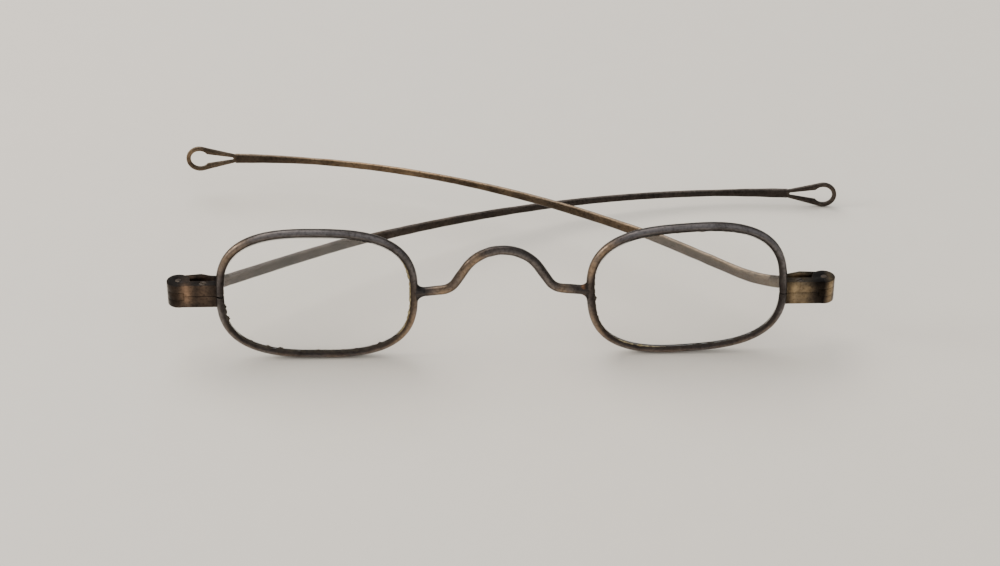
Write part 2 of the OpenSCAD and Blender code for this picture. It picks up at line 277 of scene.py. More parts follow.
# ---------------------------------------------------------------- materials
class Nodes:
    """A short way to wire up a material's nodes."""

    def __init__(self, name):
        self.material = bpy.data.materials.new(name)
        self.material.use_nodes = True
        self.tree = self.material.node_tree
        self.shader = self.tree.nodes["Principled BSDF"]
        self.coords = self.tree.nodes.new("ShaderNodeTexCoord").outputs["Object"]

    def link(self, source, target):
        self.tree.links.new(source, target)

    def noise(self, scale, detail, roughness):
        texture = self.tree.nodes.new("ShaderNodeTexNoise")
        texture.inputs["Scale"].default_value = scale
        texture.inputs["Detail"].default_value = detail
        texture.inputs["Roughness"].default_value = roughness
        self.link(self.coords, texture.inputs["Vector"])
        return texture.outputs["Fac"]

    def ramp(self, source, stops):
        ramp = self.tree.nodes.new("ShaderNodeValToRGB")
        elements = ramp.color_ramp.elements
        while len(elements) < len(stops):
            elements.new(0.5)
        for element, (position, value) in zip(elements, stops):
            element.position = position
            element.color = (*value, 1) if isinstance(value, tuple) else (value, value, value, 1)
        self.link(source, ramp.inputs["Fac"])
        return ramp.outputs["Color"]

    def mix(self, factor, a, b, kind="MIX"):
        node = self.tree.nodes.new("ShaderNodeMix")
        node.data_type = "RGBA"
        node.blend_type = kind
        sockets = (node.inputs["Factor"], node.inputs[6], node.inputs[7])
        for source, target in zip((factor, a, b), sockets):
            if hasattr(source, "is_output"):
                self.link(source, target)
            elif isinstance(source, tuple):
                target.default_value = (*source, 1)
            else:
                target.default_value = source
        return node.outputs[2]

    def math(self, operation, a, b):
        node = self.tree.nodes.new("ShaderNodeMath")
        node.operation = operation
        for source, target in ((a, node.inputs[0]), (b, node.inputs[1])):
            if hasattr(source, "is_output"):
                self.link(source, target)
            else:
                target.default_value = source
        return node.outputs[0]

    def attribute(self, name):
        node = self.tree.nodes.new("ShaderNodeAttribute")
        node.attribute_name = name
        return node.outputs["Fac"]

    def across_ramp(self, start, end, stops, ragged=0.08):
        """A ramp along X, from start to end in millimetres, with ragged limits."""
        place_x = self.tree.nodes.new("ShaderNodeSeparateXYZ")
        self.link(self.coords, place_x.inputs[0])
        mapped = self.tree.nodes.new("ShaderNodeMapRange")
        mapped.inputs["From Min"].default_value = start * MM
        mapped.inputs["From Max"].default_value = end * MM
        self.link(place_x.outputs["X"], mapped.inputs["Value"])
        waves = self.math("MULTIPLY", self.noise(500, 3, 0.6), ragged)
        wavy = self.math("ADD", mapped.outputs[0], waves)
        return self.ramp(self.math("SUBTRACT", wavy, ragged / 2), stops)

    def up_facing(self):
        """How far the surface faces upwards."""
        coords = self.tree.nodes.new("ShaderNodeTexCoord")
        split = self.tree.nodes.new("ShaderNodeSeparateXYZ")
        self.link(coords.outputs["Normal"], split.inputs[0])
        return split.outputs["Z"]

    def bump(self, height, strength, distance):
        node = self.tree.nodes.new("ShaderNodeBump")
        node.inputs["Strength"].default_value = strength
        node.inputs["Distance"].default_value = distance
        self.link(height, node.inputs["Height"])
        self.link(node.outputs["Normal"], self.shader.inputs["Normal"])


def steel_shine(n, dark, grey):
    """How much the steel shines, from patches, wear and a painted highlight, and its colour from
    that.
    """
    patches = n.ramp(n.noise(330, 5, 0.62), [(0.36, 0.0), (0.66, 0.65)])
    wear_and_highlight_part = n.math("ADD", n.ramp(n.noise(120, 3, 0.5), [(0.3, 0.45), (0.7, 1.0)]), patches)
    # Wear and a painted highlight, where the mesh's attribute says.
    wear_and_highlight_part = n.math("MULTIPLY", n.attribute("wear_and_highlight"), wear_and_highlight_part)
    shine = n.math("ADD", n.math("MULTIPLY", patches, 0.16), wear_and_highlight_part)
    return shine, n.mix(n.ramp(shine, [(0.0, 0.0), (1.0, 1.0)]), dark, grey)


def bronze_share(n, shine, warm_base, bands):
    """How bronze the steel is: in patches where the warm attribute says, and more where it shines,
    painted highlights included.
    """
    bronze_patches = n.ramp(n.noise(210, 4, 0.6), [(0.35, 0.3), (0.62, 1.0)])
    warm = n.math("ADD", n.attribute("warm"), warm_base)
    if bands:
        outer, inner, bronze_and_glint_stops, _ = bands
        warm = n.math("ADD", warm, n.across_ramp(outer, inner, bronze_and_glint_stops))
    warm = n.math("MULTIPLY", warm, bronze_patches)
    return n.math("MULTIPLY", warm, n.ramp(shine, [(0.0, 0.15), (0.7, 1.0)]))


def worn_steel(name, dark, grey, bronze, warm_base=0.0, roughness=0.4, bands=None):
    """Old steel: dark patina, greyer where it is worn and where a highlight is painted, bronze
    where the warm attribute says.

    The bands of a block, from block_bands, vary its bronze and paint bands of highlight and shade
    along X; a block also gets painted shade on top.
    """
    n = Nodes(name)
    shine, steel = steel_shine(n, dark, grey)
    tinted = n.mix(bronze_share(n, shine, warm_base, bands), steel, bronze)
    pits = n.ramp(n.noise(2100, 6, 0.7), [(0.34, 0.5), (0.52, 1.0)])
    colour = n.mix(1.0, tinted, pits, "MULTIPLY")
    if bands:
        outer, inner, _, light_and_shade_stops = bands
        # Painted shade: the block is darker where its surface faces up.
        top = n.ramp(n.up_facing(), [(0.55, 1.0), (0.9, 0.3)])
        colour = n.mix(1.0, colour, top, "MULTIPLY")
        # Painted bands of highlight and shade along X.
        colour = n.mix(1.0, colour, n.across_ramp(outer, inner, light_and_shade_stops), "MULTIPLY")
    n.link(colour, n.shader.inputs["Base Color"])
    n.shader.inputs["Metallic"].default_value = 1.0
    rough = n.ramp(n.noise(900, 4, 0.6), [(0.3, roughness - 0.12), (0.7, roughness + 0.14)])
    n.link(rough, n.shader.inputs["Roughness"])
    n.bump(n.noise(1500, 6, 0.65), strength=0.3, distance=0.05 * MM)
    return n.material


def old_glass():
    """Clear glass with faint smudges, and a little brown grime right at its edge."""
    n = Nodes("old_glass")
    ragged = n.math("ADD", n.attribute("edge"), n.math("MULTIPLY", n.noise(900, 5, 0.7), 0.3))
    grime = n.ramp(ragged, [(1.08, 0.0), (1.22, 0.75)])
    smudge = n.ramp(n.noise(90, 5, 0.6), [(0.3, (0.975, 0.975, 0.965)), (0.7, (1.0, 1.0, 0.995))])
    colour = n.mix(grime, smudge, (0.40, 0.32, 0.17))
    n.link(colour, n.shader.inputs["Base Color"])
    n.shader.inputs["IOR"].default_value = 1.5
    n.shader.inputs["Transmission Weight"].default_value = 1.0
    n.shader.inputs["Specular IOR Level"].default_value = 0.04
    rough = n.ramp(n.noise(60, 4, 0.6), [(0.35, 0.0), (0.8, 0.03)])
    n.link(rough, n.shader.inputs["Roughness"])
    return n.material


def crust(name, dark, light):
    """The crust of old cement and dirt between a lens and its rim."""
    n = Nodes(name)
    colour = n.ramp(n.noise(1400, 6, 0.7), [(0.3, dark), (0.7, light)])
    n.link(colour, n.shader.inputs["Base Color"])
    rough = n.ramp(n.noise(1000, 4, 0.6), [(0.3, 0.6), (0.7, 0.95)])
    n.link(rough, n.shader.inputs["Roughness"])
    n.bump(n.noise(2400, 6, 0.7), strength=0.6, distance=0.1 * MM)
    return n.material


def pale_paper():
    n = Nodes("pale_floor")
    mottle = n.ramp(n.noise(9, 4, 0.6), [(0.3, (0.86, 0.82, 0.742)), (0.7, (0.885, 0.82, 0.732))])
    fine = n.ramp(n.noise(160, 5, 0.6), [(0.3, 0.985), (0.7, 1.0)])
    n.link(n.mix(1.0, mottle, fine, "MULTIPLY"), n.shader.inputs["Base Color"])
    n.shader.inputs["Roughness"].default_value = 0.75
    n.shader.inputs["Specular IOR Level"].default_value = 0.25
    return n.material


# Bronze with painted copper and gold highlights, and brightness as painted bands of highlight and
# shade, along an end-piece, from its outer edge to the rim, each as (millimetres, share).
BLOCK_SPAN = 10.0
LEFT_BRONZE_AND_GLINTS = [
    (0, 0.4), (0.4, 0.1), (2.0, 0.15), (3.3, 0.9), (4.4, 0.3), (5, 0.1), (6, 0.3), (8, 0.05),
]
LEFT_LIGHT_AND_SHADE = [
    (0, 0.6), (0.5, 0.3), (1.8, 0.4), (3.3, 1.0), (4.9, 0.5), (6.5, 0.75), (8.2, 0.4), (9.3, 0.9),
]
RIGHT_BRONZE_AND_GLINTS = [
    (0.1, 0.3), (0.7, 1.0), (1.2, 0.8), (2.0, 0.0), (3.4, 0.1), (5, 0.8), (7.0, 1.0), (9.3, 0.5),
]
RIGHT_LIGHT_AND_SHADE = [
    (0.1, 0.4), (0.7, 1.0), (1.2, 0.9), (2.0, 0.15), (3.1, 0.2), (4.8, 0.8), (7, 1.0),
    (8.1, 0.35), (9.3, 1.0),
]


def block_bands(side, *tables):
    """Where a block's bands start and end along X, and each table's stops between them."""
    outer = MIDDLE.x / MM + side * (HINGE_X + BARREL_R)
    stops = [[(mm / BLOCK_SPAN, share) for mm, share in table] for table in tables]
    return outer, outer - side * BLOCK_SPAN, *stops


DARK = (0.030, 0.025, 0.024)
BLACK = (0.02, 0.017, 0.016)
BLOCK_DARK = (0.022, 0.018, 0.016)
GREY = (0.15, 0.142, 0.147)
BROWN = (0.13, 0.105, 0.09)
BRONZE = (0.40, 0.265, 0.15)
# This copper shows only in the right fillet's painted highlight ring.
HIGHLIGHT_COPPER = (0.62, 0.27, 0.1)
MATERIALS = {
    "rim": worn_steel("eyewire_steel", DARK, GREY, BRONZE),
    "bridge": worn_steel("bridge_steel", DARK, (0.14, 0.125, 0.12), BRONZE, warm_base=0.05),
    "braze": worn_steel("braze_metal", BLACK, (0.10, 0.095, 0.095), HIGHLIGHT_COPPER, roughness=0.48),
    "left_block": worn_steel(
        "left_block_steel", BLOCK_DARK, BROWN, (0.34, 0.21, 0.13), warm_base=0.05,
        bands=block_bands(LEFT, LEFT_BRONZE_AND_GLINTS, LEFT_LIGHT_AND_SHADE)),
    "right_block": worn_steel(
        "right_block_steel", BLOCK_DARK, BROWN, (0.37, 0.27, 0.15), warm_base=0.05,
        bands=block_bands(RIGHT, RIGHT_BRONZE_AND_GLINTS, RIGHT_LIGHT_AND_SHADE)),
    "screw": worn_steel(
        "screw_steel", (0.02, 0.018, 0.017), (0.12, 0.1, 0.085), BRONZE, warm_base=0.1,
        roughness=0.36),
    "dark_temple": worn_steel(
        "dark_temple_steel", BLACK, (0.12, 0.105, 0.098), BRONZE, warm_base=0.03),
    "bronze_temple": worn_steel(
        "bronze_temple_steel", (0.03, 0.023, 0.018), (0.2, 0.155, 0.115), BRONZE, warm_base=0.1),
    "glass": old_glass(),
    "dark_crust": crust("dark_crust", (0.012, 0.01, 0.009), (0.06, 0.045, 0.03)),
    "pale_crust": crust("pale_crust", (0.12, 0.08, 0.03), (0.5, 0.42, 0.24)),
}


def finish_piece(piece, material):
    piece.data.materials.clear()
    piece.data.materials.append(MATERIALS[material])


# ---------------------------------------------------------------- eyes
def outline(angle, inset, turn):
    """A point of the squared ellipse of an eye, inset along its normal; +x to the temple."""
    x = HALF_W * signed_power(math.cos(angle), 2 / SQUARENESS)
    z = HALF_H * signed_power(math.sin(angle), 2 / SQUARENESS)
    nx = signed_power(x / HALF_W, SQUARENESS - 1) / HALF_W
    nz = signed_power(z / HALF_H, SQUARENESS - 1) / HALF_H
    size = math.hypot(nx, nz)
    return turned(x - inset * nx / size, z - inset * nz / size, turn)


def even_angles(turn, start, end, count):
    """Angles that step evenly along the outline, from start to end in degrees."""
    fine_count = 4000
    fine = [math.radians(start + (end - start) * i / fine_count) for i in range(fine_count + 1)]
    along = running_length([outline(a, WIRE_T / 2, turn) for a in fine])
    angles, k = [], 0
    for i in range(count + 1):
        goal = along[-1] * i / count
        while k < len(fine) - 2 and along[k + 1] < goal:
            k += 1
        share = clamp((goal - along[k]) / max(along[k + 1] - along[k], TINY))
        angles.append(fine[k] + (fine[k + 1] - fine[k]) * share)
    return angles


def split_start(side):
    """The angle in degrees at which a rim is level with its hinge, where it is split."""
    down = HALF_W * math.tan(math.radians(RIM_TURN[side])) + HINGE_DROP[side]
    return -math.degrees(math.asin((down / HALF_H) ** (SQUARENESS / 2)))


def eye_height(turn):
    """Height of an eye's middle over the bridge's ends when its rim touches the table."""
    quarter_degrees = [math.radians(a / 4) for a in range(360 * 4)]
    lowest = min(outline(a, 0, turn)[1] for a in quarter_degrees)
    return -lowest - MID_Z


EYE_HEIGHT = {side: eye_height(math.radians(RIM_TURN[side])) for side in (LEFT, RIGHT)}


def eye_point(side, angle, inset, y):
    turn = math.radians(RIM_TURN[side])
    x, z = outline(angle, inset, turn)
    return place(side * (EYE_X + x), y, EYE_HEIGHT[side] + z)


# The round part of the eyewire's section: 0 degrees is its outermost point, 90 its back.
WIRE_ROUND = range(-138, 139, 12)
# The eyewire's painted highlight, centred between its outermost point and its front; the groove
# gets none.
WIRE_HIGHLIGHT = [hump(d + 62, 34 ** 2) for d in WIRE_ROUND] + [0.0] * 4


def wire_profile(swell):
    """The eyewire's section as (inset, depth): round, with a groove for the lens inside."""
    half_t = WIRE_T / 2 - WIRE_SKIN / 2
    half_d = WIRE_HALF_D * (1 + swell)
    middle = WIRE_T / 2 + WIRE_SKIN / 2

    def at(degrees):
        a = math.radians(degrees)
        return middle - half_t * math.cos(a), half_d * math.sin(a)

    lip = WIRE_T - WIRE_LIP
    bed = WIRE_T - GROOVE_DEPTH
    groove = [(lip, GROOVE_HALF), (bed, GROOVE_HALF), (bed, -GROOVE_HALF), (lip, -GROOVE_HALF)]
    return [at(d) for d in WIRE_ROUND] + groove


# Where each eyewire's shoulder has a painted bronze highlight, x towards the temple.
LEFT_SHOULDER_GLINT = (13.5, 8.5)
RIGHT_SHOULDER_GLINT = (-15.2, 6.5)


def rim_warmth(side, x, z):
    """Bronze on the eyewire: a painted bronze highlight on a shoulder, and bronze on the nose side
    and a little underneath.
    """
    low = smooth((-z / HALF_H - 0.2) / 0.6) * 0.22
    nasal = smooth((-x / HALF_W - 0.6) / 0.3)
    if side == LEFT:
        shoulder_x, shoulder_z = LEFT_SHOULDER_GLINT
        shoulder = 0.75 * hump(x - shoulder_x, 14) * hump(z - shoulder_z, 14)
        return clamp(shoulder + nasal * 0.42 * smooth(0.6 - z / 9) + low + 0.06)
    shoulder_x, shoulder_z = RIGHT_SHOULDER_GLINT
    shoulder = 1.1 * hump(x - shoulder_x, 8) * hump(z - shoulder_z, 20)
    return clamp(shoulder + nasal * 0.35 * smooth(-z / 6) + low + 0.04)


def rim_highlight_share(side, x, z):
    """How much wear and painted highlight the eyewire shows: less where the bridge and the
    end-piece join it.
    """
    over_joint = z + HINGE_DROP[side] * (x > 0)
    return 1 - 0.8 * hump(over_joint, 12) * smooth((abs(x) - 12) / 3)


def make_rim(side):
    """The eyewire, swept round the eye from one side of its split to the other."""
    name = NAMES[side]
    turn = math.radians(RIM_TURN[side])
    start = split_start(side) + SPLIT_ANGLE
    angles = even_angles(turn, start, start + 360 - 2 * SPLIT_ANGLE, RIM_RINGS)
    rings, warmth, highlight_share = [], [], []
    for i, angle in enumerate(angles):
        swell = wobble(i * RIM_RING_L, seed=3 + side, amount=0.03)
        rings.append([eye_point(side, angle, inset, y) for inset, y in wire_profile(swell)])
        x, z = outline(angle, 0, turn)
        warmth.append(rim_warmth(side, x, z))
        highlight_share.append(rim_highlight_share(side, x, z))
    mesh = skin_mesh("eyewire", rings, warmth=warmth, wear_and_highlight=WIRE_HIGHLIGHT, highlight_share=highlight_share)
    piece = new_piece(f"{name}_eyewire", "front", mesh)
    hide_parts(f"{name}_rim")
    finish_piece(piece, "rim")


# A lens's rings as shares of the way to its edge, and the share at which grime starts.
LENS_RINGS = [0.02, 0.12, 0.25, 0.38, 0.5, 0.62, 0.74, 0.84, 0.91, 0.96, 1.0]
GRIME_START = 0.8


def make_lens(side):
    """A biconvex lens, from the middle of its front over its edge to the middle of its back."""
    name = NAMES[side]
    turn = math.radians(RIM_TURN[side])
    angles = even_angles(turn, 0, 360, RIM_RINGS)[:-1]
    dome_inset = WIRE_T + LENS_CLEARANCE
    edge_inset = dome_inset - GROOVE_DEPTH

    def ring(inset, share, y):
        points = []
        for angle in angles:
            x, z = outline(angle, inset, turn)
            points.append(place(side * (EYE_X + x * share), y, EYE_HEIGHT[side] + z * share))
        return points

    def dome(share):
        return LENS_HALF_T + (DOME_EDGE_HALF - LENS_HALF_T) * share * share

    rings = [ring(dome_inset, s, -dome(s)) for s in LENS_RINGS]
    rings += [ring(inset, 1, -LENS_EDGE_HALF) for inset in (dome_inset, edge_inset)]
    rings += [ring(inset, 1, LENS_EDGE_HALF) for inset in (edge_inset, dome_inset)]
    rings += [ring(dome_inset, s, dome(s)) for s in reversed(LENS_RINGS)]
    grime = [max(0.0, (s - GRIME_START) / (1 - GRIME_START)) for s in LENS_RINGS]
    mesh = skin_mesh("lens", rings)
    store(mesh, "edge", [v for v in grime + [1.0] * 4 + grime[::-1] for _ in angles])
    piece = new_piece(f"{name}_spectacle_lens", "front", mesh)
    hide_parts(f"{name}_lens")
    finish_piece(piece, "glass")


def make_crust(side, start, end, material, seed, size):
    """A ragged bead of old cement along the lens's edge, over part of the rim."""
    turn = math.radians(RIM_TURN[side])
    count = int(abs(end - start) * CRUST_RINGS_A_DEGREE)
    rings = []
    for i, angle in enumerate(even_angles(turn, start, end, count)):
        fade = smooth(i / CRUST_FADE_RINGS) * smooth((count - i) / CRUST_FADE_RINGS)
        coarse = noise.noise(Vector((i * 0.16, seed, 0)))
        fine = noise.noise(Vector((i * 0.7, seed, 4)))
        bead = max(size * fade * (0.55 + 1.1 * coarse + 0.5 * fine), CRUST_LEAST)
        ring = []
        for b in turn_angles(CRUST_SIDES):
            inset = CRUST_INSET + bead * CRUST_WIDE * math.cos(b)
            ring.append(eye_point(side, angle, inset, CRUST_Y + bead * CRUST_DEEP * math.sin(b)))
        rings.append(ring)
    mesh = skin_mesh("crust", rings)
    piece = new_piece(f"{NAMES[side]}_{material}_{seed}", "front", mesh)
    finish_piece(piece, material)


# ---------------------------------------------------------------- bridge
def crown(a):
    """A point of the bridge's crown, where it slopes down by the angle a."""
    return CROWN_R * math.sin(a), ARCH_H - CROWN_R * (1 - math.cos(a))


def foot_middle():
    """The middle of the foot's arc, which touches both the flank and the arm."""
    near = Vector(crown(FLANK)) + FOOT_R * Vector((math.sin(FLANK), math.cos(FLANK)))
    arm_normal = Vector((math.sin(ARM), math.cos(ARM)))
    over_arm = (near - Vector((BRIDGE_END_X, 0))).dot(arm_normal) - FOOT_R
    down_flank = over_arm / math.sin(FLANK - ARM)
    return near + down_flank * Vector((math.cos(FLANK), -math.sin(FLANK)))


def bridge_half():
    """Half of the bridge's centreline as (x, height, slope), from the crown outwards."""
    middle = foot_middle()

    def foot(a):
        return middle.x - FOOT_R * math.sin(a), middle.y - FOOT_R * math.cos(a)

    points = []
    for i in range(CROWN_SPANS + 1):
        a = FLANK * i / CROWN_SPANS
        points.append((*crown(a), a))
    for i in range(1, FLANK_SPANS):
        points.append((*between(crown(FLANK), foot(FLANK), i / FLANK_SPANS), FLANK))
    for i in range(FOOT_SPANS + 1):
        a = FLANK + (ARM - FLANK) * i / FOOT_SPANS
        points.append((*foot(a), a))
    last_x, last_z = foot(ARM)
    run = BRIDGE_END_X + BRIDGE_SUNK - last_x
    for i in range(1, ARM_SPANS + 1):
        out = run * i / ARM_SPANS
        points.append((last_x + out, last_z - out * math.tan(ARM), ARM))
    return points


# The round wire's painted highlight, faint all round and strongest near its front: 0 degrees is its
# top and 90 its front.
ROUND_HIGHLIGHT = [
    max(hump(360 * j / ROUND_SIDES - 84, 30 ** 2), 0.1) for j in range(ROUND_SIDES)
]
# Painted bronze highlights on the bridge as (place along X, share, spread), and on each arm from
# the middle.
BRIDGE_GLINTS = [(-6.2, 0.62, 9), (-3.9, 0.35, 0.8)]
ARM_GLINT = [(10.6, 0.6, 2.6)]
# The bridge's painted highlight fades out from this far from its middle, over this length.
HIGHLIGHT_FADE_START = 11.4
HIGHLIGHT_FADE_L = 1.6


def make_bridge():
    """The arched wire, with a painted highlight along it that fades out at its ends."""
    half = bridge_half()
    path = [(-x, z, -a) for x, z, a in reversed(half[1:])] + half
    rings, warmth, highlight_share = [], [], []
    for i, (x, z, slope) in enumerate(path):
        r = BRIDGE_R * (1 + wobble(i * 0.5, seed=9, amount=0.05))
        ring = []
        for b in turn_angles(ROUND_SIDES):
            up = r * math.cos(b)
            ring.append(place(x + up * math.sin(slope), -r * math.sin(b), z + up * math.cos(slope)))
        rings.append(ring)
        warmth.append(clamp(spots(x, BRIDGE_GLINTS) + spots(abs(x), ARM_GLINT)))
        highlight_share.append(1 - 0.75 * smooth((abs(x) - HIGHLIGHT_FADE_START) / HIGHLIGHT_FADE_L))
    mesh = skin_mesh("bridge_wire", rings, warmth=warmth, wear_and_highlight=ROUND_HIGHLIGHT, highlight_share=highlight_share)
    piece = new_piece("bridge_wire", "front", mesh)
    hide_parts("bridge")
    finish_piece(piece, "bridge")


# The right fillet has a painted copper highlight in a ring, this far towards the middle of the
# bridge.
COPPER_HIGHLIGHT_RING = [(0.75, 0.8, 0.35 ** 2)]


def make_braze(side):
    """A hollow fillet that flares from the bridge's end onto the eyewire."""
    rings, warmth = [], []
    for i in range(FILLET_RINGS + END_RINGS + 1):
        away = max(FILLET_R * (1 - i / FILLET_RINGS), 0)
        past = max(i - FILLET_RINGS, 0) * END_STEP
        x = BRIDGE_END_X + FILLET_SUNK - away + past
        flare = FILLET_R - math.sqrt(max(FILLET_R ** 2 - (FILLET_R - away) ** 2, 0))
        proud = 0.985 + 0.03 * smooth(i / 7)
        tall = (BRIDGE_R + flare) * proud
        deep = (BRIDGE_R - FILLET_THIN * (1 - away / FILLET_R)) * proud
        middle_z = (BRIDGE_END_X - x) * math.tan(ARM)
        rings.append([
            place(side * x, -deep * math.sin(b), middle_z + tall * math.cos(b))
            for b in turn_angles(ROUND_SIDES)
        ])
        warmth.append(spots(away, COPPER_HIGHLIGHT_RING) if side == RIGHT else 0.0)
    mesh = skin_mesh("braze", rings, warmth=warmth, wear_and_highlight=[c * 0.5 for c in ROUND_HIGHLIGHT])
    piece = new_piece(f"{NAMES[side]}_braze_fillet", "front", mesh)
    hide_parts(f"{NAMES[side]}_bridge_braze")
    finish_piece(piece, "braze")


# ---------------------------------------------------------------- blocks, screws and pins
WELD = 0.002
FLAT_ANGLE = math.radians(1.5)
SHARP_ANGLE = math.radians(35)


def soften(node, name, body, material, width, warmth=0.0, highlight_share=0.4):
    """A copy of a CAD node with its sharp edges rounded by a small bevel."""
    mesh = frame["nodes"][node].data.copy()
    mesh.name = name
    bm = bmesh.new()
    bm.from_mesh(mesh)
    bmesh.ops.remove_doubles(bm, verts=bm.verts, dist=WELD * MM)
    bmesh.ops.dissolve_limit(bm, angle_limit=FLAT_ANGLE, verts=bm.verts, edges=bm.edges)
    paired = [e for e in bm.edges if len(e.link_faces) == 2]
    bmesh.ops.bevel(
        bm, geom=[e for e in paired if e.calc_face_angle(0) > SHARP_ANGLE], offset=width * MM,
        offset_type="OFFSET", segments=3, profile=0.5, affect="EDGES", clamp_overlap=True,
    )
    bmesh.ops.triangulate(bm, faces=[f for f in bm.faces if len(f.verts) > 4])
    bmesh.ops.recalc_face_normals(bm, faces=bm.faces)
    bm.to_mesh(mesh)
    bm.free()
    shade(mesh, 50)
    store(mesh, "warm", [warmth] * len(mesh.vertices))
    store(mesh, "wear_and_highlight", [highlight_share] * len(mesh.vertices))
    piece = new_piece(name, body, mesh)
    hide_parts(node)
    finish_piece(piece, material)


# ---------------------------------------------------------------- temples
def heading(side, s):
    """The way a temple's plan runs at s millimetres from its hinge, in radians."""
    t = TEMPLES[side]
    bent = ROOT_L + t["kick_l"]
    kick = t["kick"] * smooth((s - ROOT_L) / t["kick_l"])
    return math.radians(kick - t["fall"] * clamp((s - bent) / (t["length"] - bent)) ** FALL_POWER)


def temple_path(side):
    """The centreline's points in plan, stepped along its heading."""
    x, y, s, points = 0.0, ROOT_Y, 0.0, []
    while s <= TEMPLES[side]["length"]:
        points.append((x, y))
        way = heading(side, s + PATH_STEP / 2)
        x += PATH_STEP * math.cos(way)
        y += PATH_STEP * math.sin(way)
        s += PATH_STEP
    return points


PATHS = {side: temple_path(side) for side in (LEFT, RIGHT)}


def path_at(side, s):
    """A point of the centreline, between its half-millimetre stations."""
    station = s / PATH_STEP
    i = min(int(station), len(PATHS[side]) - 2)
    return between(PATHS[side][i], PATHS[side][i + 1], station - i)


def bar_end(side):
    return TEMPLES[side]["length"] - LOOP_R - LOOP_ROOT


def loop_frame(side):
    """Where a loop is rooted on its bar, and the way it runs straight on."""
    root = path_at(side, bar_end(side))
    return root, heading(side, TEMPLES[side]["length"] - LOOP_ROOT)


def left_drop():
    """How far the left loop lies under its hinge when its ribbon rests on the table."""
    (x, y), way = loop_frame(LEFT)
    middle = (x + LOOP_ROOT * math.cos(way), y + LOOP_ROOT * math.sin(way))
    back = turned(*middle, math.radians(TEMPLES[LEFT]["rest"]))[1]
    return MID_Z - LOOP_R - (HINGE_BACK + back + LOOP_REST_HALF_T) * math.tan(LEAN)


TIP_RISE = {LEFT: -left_drop(), RIGHT: RIGHT_RISE}


def temple_height(side, s):
    """Height of the centreline over the left hinge's level."""
    along = clamp((s - ROOT_L) / (TEMPLES[side]["length"] - ROOT_L))
    return TIP_RISE[side] * math.sin(math.pi / 2 * along) - HINGE_DROP[side]


def at_hinge(side, x, y, z):
    """A point of a temple in its own plan, X inwards from the hinge, as it stands."""
    xr, yr = turned(x, y, math.radians(TEMPLES[side]["rest"]))
    return place(side * (HINGE_X - xr), HINGE_BACK + yr, z)


def section_size(side, s):
    """Half the height and half the thickness of a temple's bar."""
    rows = list(zip(BAR, BAR[1:]))
    low, high = next((pair for pair in rows if s <= pair[1][0]), rows[-1])
    share = clamp((s - low[0]) / (high[0] - low[0]))
    tall, thick = between(low[1:], high[1:], share)
    flare = TIP_FLARE * smooth((s - TEMPLES[side]["length"] + FLARE_START) / FLARE_L)
    return (tall + flare) / 2, thick / 2


# Bronze along each bar as (millimetres from its hinge, share, spread).
LEFT_BAR_BRONZE = [(40, 0.12, 300)]
RIGHT_BAR_BRONZE = [(80, 0.75, 220), (38, 0.15, 160)]
RIGHT_DARK_START = 96
RIGHT_DARK_L = 10


def temple_warmth(side, s):
    if side == LEFT:
        return 0.04 + spots(s, LEFT_BAR_BRONZE)
    base = 0.2 - 0.2 * smooth((s - RIGHT_DARK_START) / RIGHT_DARK_L)
    return base + spots(s, RIGHT_BAR_BRONZE)


# A painted highlight runs along the bar's upper edge, strongest at its root; its flat sides stay
# dark.
BAR_HIGHLIGHT = [
    clamp(math.sin(b)) ** 3 * 0.95 + 0.05 for b in turn_angles(BAR_SIDES, 0.5)
]
ROOT_HIGHLIGHT = 4
ROOT_HIGHLIGHT_L = 9


def bar_line(side, s):
    """A bar's centreline as x, y and heading, straight on where it runs into the loop."""
    over = s - bar_end(side)
    if over <= 0:
        return *path_at(side, s), heading(side, s)
    (root_x, root_y), way = loop_frame(side)
    return root_x + over * math.cos(way), root_y + over * math.sin(way), way


def bar_ring(side, s):
    """The bar's section, a rounded rectangle with a handmade unevenness."""
    x, y, way = bar_line(side, s)
    tall, thick = section_size(side, s)
    tall *= BAR_FIT + wobble(s * 1.2, seed=30 + side, amount=0.05)
    swell = TIP_SWELL * smooth((s - bar_end(side) + SWELL_L) / SWELL_L)
    thick *= 1 + wobble(s * 1.5, seed=20 + side, amount=0.06) + swell
    ring = []
    for b in turn_angles(BAR_SIDES, 0.5):
        out = thick * signed_power(math.cos(b), BAR_ROUNDING)
        height = temple_height(side, s) + tall * signed_power(math.sin(b), BAR_ROUNDING)
        ring.append(at_hinge(side, x - out * math.sin(way), y + out * math.cos(way), height))
    return ring


def make_bar(side):
    """The flat wire from the joint to the slit of the loop."""
    run = bar_end(side) - JOINT_L
    stations = [JOINT_L + run * i / BAR_SPANS for i in range(BAR_SPANS + 1)]
    stations += [bar_end(side) + OVERRUN_STEP * i for i in range(1, OVERRUN_RINGS + 1)]
    rings = [bar_ring(side, s) for s in stations]
    warmth = [temple_warmth(side, s) for s in stations]
    # The bar's painted highlight is strongest near its root.
    highlight_share = [1 + ROOT_HIGHLIGHT * (1 - smooth((s - JOINT_L) / ROOT_HIGHLIGHT_L)) for s in stations]
    return skin_mesh("temple_bar", rings, warmth=warmth, wear_and_highlight=BAR_HIGHLIGHT, highlight_share=highlight_share)


def arc(radius, start, end, count):
    angles = [start + (end - start) * i / count for i in range(count + 1)]
    return [(radius * math.cos(a), radius * math.sin(a)) for a in angles]


def resample(points, count):
    """Points evenly along a closed outline, starting at its first point."""
    closed = points + points[:1]
    along = running_length(closed)
    result, k = [], 0
    for i in range(count):
        goal = along[-1] * i / count
        while along[k + 1] < goal:
            k += 1
        share = (goal - along[k]) / max(along[k + 1] - along[k], TINY)
        result.append(between(closed[k], closed[k + 1], share))
    return result


